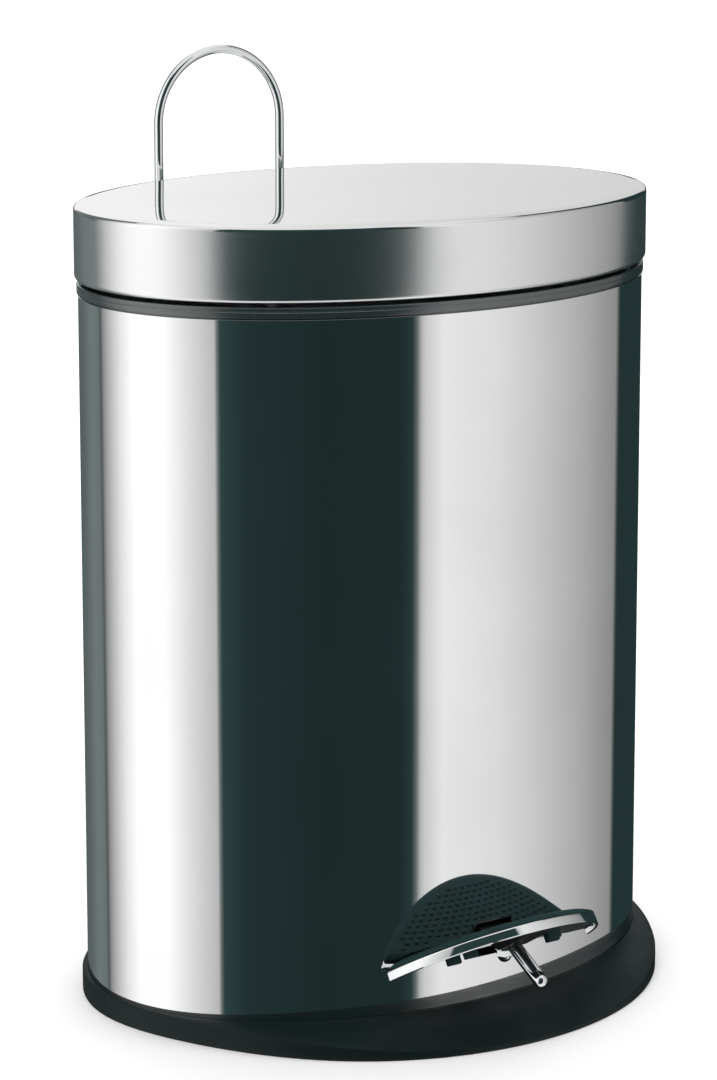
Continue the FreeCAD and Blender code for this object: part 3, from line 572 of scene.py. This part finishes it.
def make_lid():
    """Flat polished top, brushed skirt and rolled hem, with the crank's slot at the back."""
    slot_left, slot_right, slot_top = -2.5, 5.6, 285.6
    rim_w = HALF_W + 1.3
    right, left = math.acos(slot_right / rim_w), math.acos(slot_left / rim_w)
    steps = angles((right, left))
    i0, i1 = steps.index(right), steps.index(left)
    over = LID_HIGH.x - HALF_W
    low, high = LID_LOW.z, LID_HIGH.z
    edge, hem = 1.6, 1.9
    skirt_belt = 275.0
    stack = [(over - 30.0, high), (over - 6.0, high), (over - 4.6, high - 0.04), (over - 3.2, high - 0.2),
             (over - 2.2, high - 0.42)]
    stack += arc(over - edge, high - edge - 0.5, edge, 80, 0, 8)
    skirt_start = len(stack) - 1
    row_out = len(stack)
    stack += [(over, slot_top), (over, skirt_belt)]
    stack += arc(over - hem, low + hem, hem, 0, -90, 10)
    stack += [(over - 2.3, low), (over - 2.4, low + 0.15), (over - 2.4, low + 2.2), (over - 2.2, low + 2.4),
              (over - SHEET, low + 2.45)]
    row_in = len(stack)
    stack += [(over - SHEET, slot_top), (over - SHEET, high - 1.9), (over - 1.3, high - 1.1),
              (over - 2.2, high - SHEET), (over - 30.0, high - SHEET)]

    def in_slot(i, j):
        return i0 <= i < i1 and row_out <= j < row_in

    bm, rows = rings_mesh(oval_stack(stack, steps), skip=in_slot)
    for i in range(i0, i1):
        bm.faces.new((rows[row_out][i], rows[row_out][i + 1], rows[row_in][i + 1], rows[row_in][i]))
    for i in (i0, i1):
        bm.faces.new([rows[j][i] for j in range(row_out, row_in + 1)])
    outward(bm)
    bm.verts.index_update()
    for face in bm.faces:
        levels = [vert.index // len(steps) for vert in face.verts]
        spans_slot = max(levels) - min(levels) > 1
        if min(levels) >= skirt_start and not spans_slot:
            face.material_index = 1
    piece("lid", bm, [LID_TOP, SKIRT], "lid", "lid_shell", 28.0)


# ---------------------------------------------------------------- housing and handle

# Radius of the handle's wire.
WIRE = 1.7


def make_housing():
    """Moulded hinge housing with soft corners, a shallow recess in its back and a bore for the handle."""
    half, back = HOUSING_HIGH.x, HOUSING_HIGH.y
    low, top = HOUSING_LOW.z, 262.0
    corner, gap = 3.0, 0.06
    outline = []
    for x in [-half + 2 * half * i / 24 for i in range(25)]:
        outline.append((x, (HALF_D + gap) * math.sqrt(1 - (x / (HALF_W + gap)) ** 2)))
    outline += arc(half - corner, back - corner, corner, 0, 90, 8)
    outline += arc(-half + corner, back - corner, corner, 90, 180, 8)

    def shrunk(inset, z):
        points = []
        for x, y in outline:
            side = max(-half + inset, min(half - inset, x))
            points.append(Vector((side, min(y, back - inset), z)))
        return points

    rings = [shrunk(1.2, low), shrunk(0.35, low + 0.35), shrunk(0.0, low + 1.2), shrunk(0.0, top - 1.2),
             shrunk(0.35, top - 0.35), shrunk(1.2, top)]
    shell = skinned(rings)
    made = piece("housing", shell, [HOUSING_PLASTIC], "bin", "hinge_housing", 34.0)
    collar = oval_prism(HALF_W + 0.6, HALF_D + 0.6, WALL_HIGH.z - 0.5, top + 38.0)
    recess = block(-15.0, 15.0, back - 0.8, back + 3, low + 5, top - 5, bevel=0.6)
    pivot = Vector((0.0, (HANDLE_LOW.y + HANDLE_HIGH.y) / 2, HANDLE_LOW.z + WIRE))
    across = Matrix.Translation(pivot) @ Matrix.Rotation(rad(90), 4, "Y")
    bore = lathe([(WIRE + 0.06, -60.0), (WIRE + 0.06, 60.0)], 36, placed=across)
    carve(made, collar, recess, bore, sharp=34.0)
    make_ears(top)


def make_ears(root):
    """Two round-topped ears that hold the lid's pin above the housing."""
    ears = bmesh.new()
    hinge_y, hinge_z = 88.0, 284.0
    near, far, radius, soft = 8.2, 12.2, 3.4, 0.35
    foot = root - 0.8
    shape = [(hinge_y - radius, foot), (hinge_y - radius, hinge_z)]
    shape += [(hinge_y - radius * math.cos(rad(a)), hinge_z + radius * math.sin(rad(a)))
              for a in range(12, 169, 12)]
    shape += [(hinge_y + radius, hinge_z), (hinge_y + 4.0, hinge_z - 4.0), (hinge_y + 4.0, foot)]
    middle = Vector((hinge_y + 0.3, (hinge_z + root) / 2))
    for side in (-1, 1):
        x0, x1 = sorted((side * near, side * far))
        rings = []
        for x, shrink in ((x0, soft), (x0 + soft, 0.0), (x1 - soft, 0.0), (x1, soft)):
            ring = []
            for y, z in shape:
                inward = Vector((middle.x - y, middle.y - z)).normalized() * shrink
                ring.append(Vector((x, y + inward.x, z + inward.y)))
            rings.append(ring)
        rings_mesh(rings, bm=ears)
    piece("hinge_ears", outward(ears), [HOUSING_PLASTIC], "bin", None, 34.0)


def make_handle():
    """Bright wire handle: two straight legs, a round arch and ends turned into the housing."""
    reach = HANDLE_HIGH.x - WIRE
    depth = (HANDLE_LOW.y + HANDLE_HIGH.y) / 2
    foot = HANDLE_LOW.z + WIRE
    crown = HANDLE_HIGH.z - WIRE - reach
    bend = 4.0
    half = [Vector((x, depth, foot)) for x in (17.0, 17.6, 21.0)]
    half += [
        Vector((reach - bend + bend * math.sin(rad(a)), depth, foot + bend - bend * math.cos(rad(a))))
        for a in range(0, 91, 9)
    ]
    half += [Vector((reach, depth, z)) for z in (262.0, 278.0, 294.0)]
    half += [
        Vector((reach * math.cos(rad(a)), depth, crown + reach * math.sin(rad(a)))) for a in range(0, 90, 3)
    ]
    top = [Vector((0.0, depth, crown + reach))]
    mirrored = [Vector((-point.x, point.y, point.z)) for point in reversed(half)]
    bar = tube(half + top + mirrored, WIRE, 28)
    piece("handle", bar, [CHROME], "handle", "carry_handle", 40.0)


# ---------------------------------------------------------------- pedal

# The pedal's own axes: the origin is on the plate's top face just in front of the wall, and -Y points to
# the front edge, which is higher.
PEDAL_GAP, PEDAL_LEVEL, PEDAL_SLOPE = 1.0, 28.2, 32.0
PEDAL_PLACE = Matrix.Translation((0.0, -HALF_D - PEDAL_GAP, PEDAL_LEVEL))
PEDAL = PEDAL_PLACE @ Matrix.Rotation(rad(-PEDAL_SLOPE), 4, "X")
# The tread's half width, reach from the rear edge to the front, rear edge's place and thickness.
TREAD_HALF, TREAD_REACH, TREAD_REAR, TREAD_THICK = 44.3, 34.8, -3.4, 2.2


def moon_arc(half, reach, rear):
    """Radius of a half moon's front arc, and where the arc's centre lies along the pedal."""
    radius = (half * half + reach * reach) / (2 * reach)
    return radius, -rear - reach + radius


def moon(half, reach, rear, corner, inset):
    """Loop of a half moon with a straight rear edge and rounded corners, and each point's share of the
    front edge: 1 on the arc, falling to 0 round the corners."""
    arc_count, corner_count = 72, 8
    radius, centre = moon_arc(half, reach, rear)
    big, small = radius - inset, max(corner - inset, 0.02)
    fixed = corner if corner > inset else inset + 0.02
    line = -rear - fixed
    small_x = math.sqrt((radius - fixed) ** 2 - (centre - line) ** 2)
    tilt = math.atan2(line - centre, small_x)
    loop, share = [], []
    for i in range(arc_count + 1):
        a = math.pi - tilt + (2 * tilt + math.pi) * i / arc_count
        loop.append((big * math.cos(a), centre + big * math.sin(a)))
        share.append(1.0)
    for i in range(1, corner_count + 1):
        a = tilt + (math.pi / 2 - tilt) * i / corner_count
        loop.append((small_x + small * math.cos(a), line + small * math.sin(a)))
        share.append(1.0 - i / corner_count)
    for i in range(corner_count, 0, -1):
        a = tilt + (math.pi / 2 - tilt) * i / corner_count
        loop.append((-small_x - small * math.cos(a), line + small * math.sin(a)))
        share.append(1.0 - i / corner_count)
    return loop, share


def make_plate():
    """Pressed half-moon plate, hollowed behind to follow the wall, with a turned-down front edge."""
    half, reach, rear, corner = 44.9, 37.6, -5.9, 1.0
    notch_half, notch_reach = 6.4, 15.0
    flange, sheet = 3.6, 1.2
    section = [(0.7, 0.0), (0.4, -0.05), (0.18, -0.16), (0.05, -0.38), (0.0, -0.7)]
    section += [(0.0, -flange + 0.3), (0.3, -flange), (sheet - 0.3, -flange), (sheet, -flange + 0.3)]
    section += [(sheet, -sheet - 0.5), (sheet + 0.5, -sheet)]
    rings = []
    for inset, level in section:
        loop, share = moon(half, reach, rear, corner, inset)
        ring = []
        for (x, y), full in zip(loop, share):
            fade = full * full * (3 - 2 * full)
            z = level if level > -sheet else -sheet + (level + sheet) * fade
            ring.append(Vector((x, y, z)))
        rings.append(ring)
    plate = skinned(rings)
    made = piece("pedal_plate_chrome", plate, [CHROME], "pedal", "pedal_plate", 40.0, PEDAL)
    notch = block(-notch_half, notch_half, -notch_reach, 8.0, -9.0, 5.0, placed=PEDAL)
    carve(made, notch, oval_prism(HALF_W + 1.0, HALF_D + 1.0, 0.0, 80.0), sharp=40.0)


def make_rubber():
    """Rubber tread with a bevelled border. It runs on unbroken over the end of the lever."""
    corner = 1.2
    section = [(0.25, 0.02), (0.0, 0.25), (0.0, 1.1), (0.25, 1.35), (1.9, 2.1), (2.3, TREAD_THICK)]
    rings = []
    for inset, level in section:
        loop = moon(TREAD_HALF, TREAD_REACH, TREAD_REAR, corner, inset)[0]
        rings.append([Vector((x, y, level)) for x, y in loop])
    tread = skinned(rings)
    made = piece("pedal_tread", tread, [PEDAL_RUBBER], "pedal", "pedal_rubber", 35.0, PEDAL)
    carve(made, oval_prism(HALF_W + 2.5, HALF_D + 2.5, 0.0, 80.0), sharp=35.0)


def add_knob(bm, x, y):
    """One low oval knob on top of the tread."""
    half_width, half_depth, sides = 1.3, 0.85, 12
    middle = Vector((x, y, TREAD_THICK))
    steps = [2 * math.pi * i / sides for i in range(sides)]
    rings = []
    for share, lift in ((1.0, -0.15), (0.86, 0.16), (0.6, 0.32), (0.3, 0.38)):
        loop = oval(half_width * share, half_depth * share, lift, steps)
        rings.append([middle + point for point in loop])
    rings_mesh(rings, bm=bm, cap_first=False)


def on_tread(x, y):
    """Whether a knob fits at a place: inside the front arc and clear of the wall behind."""
    border, wall_gap, foreshortening = 3.9, 5.5, 0.85
    radius, centre = moon_arc(TREAD_HALF, TREAD_REACH, TREAD_REAR)
    depth = HALF_D + PEDAL_GAP - foreshortening * y
    from_wall = math.hypot(x / (HALF_W + wall_gap), depth / (HALF_D + wall_gap))
    return math.hypot(x, y - centre) < radius - border and from_wall > 1.0


def make_knobs():
    """Staggered rows of knobs on the tread, and its four tabs that come through the plate."""
    knobs = bmesh.new()
    across, along, side_limit = 3.7, 2.5, 40.0
    row = 0
    y = -TREAD_REAR - 4.0
    while y > -TREAD_REAR - TREAD_REACH + 3.6:
        x = -side_limit + (across / 2 if row % 2 else 0.0)
        while x < side_limit:
            if on_tread(x, y):
                add_knob(knobs, x, y)
            x += across
        y -= along
        row += 1
    tab_half, tab_low, tab_high = 2.95, -4.4, 0.3
    for x, y in ((22.0, 2.6), (18.5, 9.0)):
        back, front = -y - 0.05, -y - 1.95
        for side in (-1, 1):
            left, right = side * x - tab_half, side * x + tab_half
            block(left, right, front, back, tab_low, tab_high, bevel=0.5, bm=knobs)
    piece("pedal_knobs", outward(knobs), [PEDAL_RUBBER], "pedal", None, 50.0, PEDAL)


def make_peg():
    """Round-nosed bright peg under the pedal, its top trimmed to the lever."""
    slope = 28.0
    aim = Matrix.Translation((0.0, -HALF_D - 12.0, 30.6)) @ Matrix.Rotation(rad(90 + slope), 4, "X")
    radius, length = 2.6, 17.5
    profile = [(radius - 0.3, 0.0), (radius, 0.3), (radius, length)]
    profile += [(radius * math.cos(rad(a)) ** 0.7, length + 0.9 * radius * math.sin(rad(a)))
                for a in range(12, 88, 12)]
    peg = piece("peg", outward(lathe(profile, 48)), [CHROME], "pedal", "pedal_peg", 40.0, aim)
    # What lies above the underside of the lever, along its sloping end and along its level part.
    above_slope = block(-10.0, 10.0, -60.0, -9.5, -3.82, 20.0, placed=PEDAL)
    above_level = block(-10.0, 10.0, -91.7, -60.0, 30.0, 60.0)
    carve(peg, above_slope, above_level, sharp=40.0)


def make_nut():
    """Collar, hexagon and dome of the cap nut that holds the pedal to the lever."""
    at = Matrix.Translation((0.0, -HALF_D - 6.3, 28.35))
    nut = lathe([(3.9, 0.0), (4.4, 0.3), (4.4, 1.2), (4.0, 1.58)], 40)
    hexagon = [(3.1, -0.05), (3.2, -0.3), (3.2, -2.5), (2.9, -2.85)]
    lathe(hexagon, 6, bm=nut)
    radius, level = 2.6, -2.65
    dome = [(radius * math.cos(rad(a)), level - radius * math.sin(rad(a))) for a in range(0, 90, 15)]
    lathe(dome, 32, bm=nut)
    piece("cap_nut", outward(nut), [CHROME], "pedal", "lever_cap_nut", 30.0, at)


# ---------------------------------------------------------------- build everything

make_wall()
make_base()
make_rim()
make_bucket()
make_lid()
make_housing()
make_handle()
make_plate()
make_rubber()
make_knobs()
make_peg()
make_nut()

KEPT = {
    "anti_slip_pads": PAD_RUBBER,
    "bucket_bail": PLATED_PINS,
    "lid_liner": LINER_PLASTIC,
    "lid_buffers": PAD_RUBBER,
    "lid_hinge": HINGE_STEEL,
    "lid_rivets": PLATED_PINS,
    "hinge_pin": PLATED_PINS,
    "housing_screws": PLATED_PINS,
    "pivot_bracket": PLATED,
    "bracket_screws": PLATED_PINS,
    "lever_pivot_pin": PLATED_PINS,
    # The lever's near-black colour is painted shade.
    "pedal_lever": LEVER_PAINTED_SHADE,
    "rod_joint_pin": PLATED_PINS,
    "push_rod": PLATED,
    "crank_pin": PLATED_PINS,
    "rod_guide": LINER_PLASTIC,
}
for node, material in KEPT.items():
    slots = NODES[node].data.materials
    slots.clear()
    slots.append(material)


# ---------------------------------------------------------------- floor, surroundings, light, camera


def make_floor():
    """Pale matt floor that doesn't show in reflections."""
    mesh = bpy.data.meshes.new("floor")
    half = 30.0
    corners = [(-half, -half, 0), (half, -half, 0), (half, half, 0), (-half, half, 0)]
    mesh.from_pydata(corners, [], [(0, 1, 2, 3)])
    floor = bpy.data.objects.new("floor", mesh)
    bpy.context.scene.collection.objects.link(floor)
    paper = Shader("floor_paper")
    paper.bsdf.inputs["Roughness"].default_value = 0.9
    paper.bsdf.inputs["Specular IOR Level"].default_value = 0.1
    paper.colour(paper.ramp(paper.noise(3.0), [(0.3, (0.88, 0.88, 0.88)), (0.7, (0.9, 0.9, 0.9))]))
    mesh.materials.append(paper.material)
    floor.visible_glossy = False


TEAL = (0.5, 1.0, 1.0)
GREY = (1.0, 1.0, 0.995)
SLATE = (0.85, 1.0, 1.0)
# Each panel's bearing in degrees, where 0 is the pedal side and + is towards +X, its brightness and its tint.
LOW_PANELS = [
    (-180, 0.13, SLATE), (-162, 0.2, SLATE), (-151, 0.18, SLATE), (-148, 0.09, SLATE), (-144, 0.3, GREY),
    (-125, 0.85, GREY), (-114, 1.1, GREY), (-92, 1.1, GREY), (-78, 0.8, GREY), (-63, 0.52, GREY),
    (-61.5, 0.06, TEAL), (-50, 0.034, TEAL), (-20, 0.025, TEAL), (5, 0.027, TEAL), (9.4, 0.05, TEAL),
    (11.6, 0.6, GREY), (18, 0.86, GREY), (36, 0.76, GREY), (58, 0.53, GREY), (80, 0.34, GREY),
    (90, 0.28, GREY), (93, 0.035, TEAL), (128, 0.035, TEAL), (140, 0.1, TEAL), (179, 0.13, SLATE),
]
HIGH_PANELS = [
    (-180, 0.2, SLATE), (-152, 0.12, SLATE), (-125, 0.85, GREY), (-114, 1.1, GREY), (-92, 1.1, GREY),
    (-78, 0.8, GREY), (-63, 0.5, GREY), (-61.5, 0.05, TEAL), (9.4, 0.045, TEAL), (11.6, 0.62, GREY),
    (18, 0.86, GREY), (58, 0.53, GREY), (90, 0.28, GREY), (93, 0.035, TEAL), (120, 0.035, TEAL),
    (123, 0.66, GREY), (138, 0.7, GREY), (145, 0.8, GREY), (152, 0.93, GREY), (168, 0.95, GREY),
    (174, 0.2, GREY),
]


def panel_light(name, panels):
    """Emission whose brightness and tint follow the bearing."""
    material = bpy.data.materials.new(name)
    material.use_nodes = True
    tree = material.node_tree
    tree.nodes.clear()
    output = tree.nodes.new("ShaderNodeOutputMaterial")
    emission = tree.nodes.new("ShaderNodeEmission")
    coords = tree.nodes.new("ShaderNodeTexCoord")
    mapping = tree.nodes.new("ShaderNodeMapping")
    mapping.inputs["Rotation"].default_value = (0, 0, rad(90))
    gradient = tree.nodes.new("ShaderNodeTexGradient")
    gradient.gradient_type = "RADIAL"
    ramp = tree.nodes.new("ShaderNodeValToRGB")
    stops = [(0.5 + bearing / 360, [light * c for c in tint]) for bearing, light, tint in panels]
    fill_ramp(ramp.color_ramp, stops)
    tree.links.new(coords.outputs["Object"], mapping.inputs["Vector"])
    tree.links.new(mapping.outputs["Vector"], gradient.inputs["Vector"])
    tree.links.new(gradient.outputs["Fac"], ramp.inputs["Fac"])
    tree.links.new(ramp.outputs["Color"], emission.inputs["Color"])
    tree.links.new(emission.outputs["Emission"], output.inputs["Surface"])
    return material


def make_panels():
    """Two rings of panels that only show in reflections: light to the left and right, dark in front."""
    count, radius = 96, 1.6
    for name, low, high, stops in (("low", -1.6, 0.34, LOW_PANELS), ("high", 0.34, 2.2, HIGH_PANELS)):
        rings = [circle(radius, z, count) for z in (low, high)]
        bm = rings_mesh(rings, cap_first=False, cap_last=False)[0]
        mesh = bpy.data.meshes.new(f"panels_{name}")
        bm.to_mesh(mesh)
        bm.free()
        mesh.materials.append(panel_light(f"panel_light_{name}", stops))
        panels = bpy.data.objects.new(f"panels_{name}", mesh)
        bpy.context.scene.collection.objects.link(panels)
        for ray in ("camera", "diffuse", "transmission", "volume_scatter", "shadow"):
            setattr(panels, f"visible_{ray}", False)


def area_light(name, place, aim, size, power):
    data = bpy.data.lights.new(name, "AREA")
    data.shape = "RECTANGLE"
    data.size, data.size_y = size
    data.energy = power
    light = bpy.data.objects.new(name, data)
    light.location = place
    light.rotation_euler = (Vector(aim) - Vector(place)).to_track_quat("-Z", "Y").to_euler()
    light.visible_glossy = False
    bpy.context.scene.collection.objects.link(light)


def make_light():
    """Pale surroundings and four soft boxes, which don't show in reflections."""
    world = bpy.data.worlds.new("studio")
    bpy.context.scene.world = world
    world.use_nodes = True
    background = world.node_tree.nodes["Background"]
    background.inputs["Color"].default_value = (0.83, 0.835, 0.83, 1.0)
    background.inputs["Strength"].default_value = 1.0
    area_light("softbox_left", (-1.5, -0.6, 1.1), (0, 0, 0.15), (1.2, 1.6), 9.0)
    area_light("softbox_right", (1.3, -1.2, 1.2), (0, 0, 0.15), (1.0, 1.4), 6.0)
    area_light("softbox_top", (0.0, 0.1, 1.9), (0, 0, 0.1), (1.8, 1.8), 12.0)
    area_light("softbox_far", (1.8, 3.0, 2.6), (1.6, 2.8, 0.0), (5.0, 5.0), 90.0)


def make_camera():
    """Looks from the left of the pedal, a little above the lid."""
    data = bpy.data.cameras.new("camera")
    data.sensor_fit = "AUTO"
    data.sensor_width = 36.0
    data.lens = 118.4
    data.shift_x = -0.0067
    data.shift_y = -0.1296
    data.clip_start, data.clip_end = 0.05, 100.0
    data.dof.use_dof = False
    camera = bpy.data.objects.new("camera", data)
    bearing, pitch, distance, height = rad(34.85), rad(10.6), 1.284, 0.4546
    camera.location = (-math.sin(bearing) * distance, -math.cos(bearing) * distance, height)
    ahead = Vector((
        math.sin(bearing) * math.cos(pitch), math.cos(bearing) * math.cos(pitch), -math.sin(pitch)
    ))
    camera.rotation_euler = ahead.to_track_quat("-Z", "Y").to_euler()
    bpy.context.scene.collection.objects.link(camera)
    bpy.context.scene.camera = camera


make_floor()
make_panels()
make_light()
make_camera()

bpy.context.scene.view_settings.view_transform = "Standard"
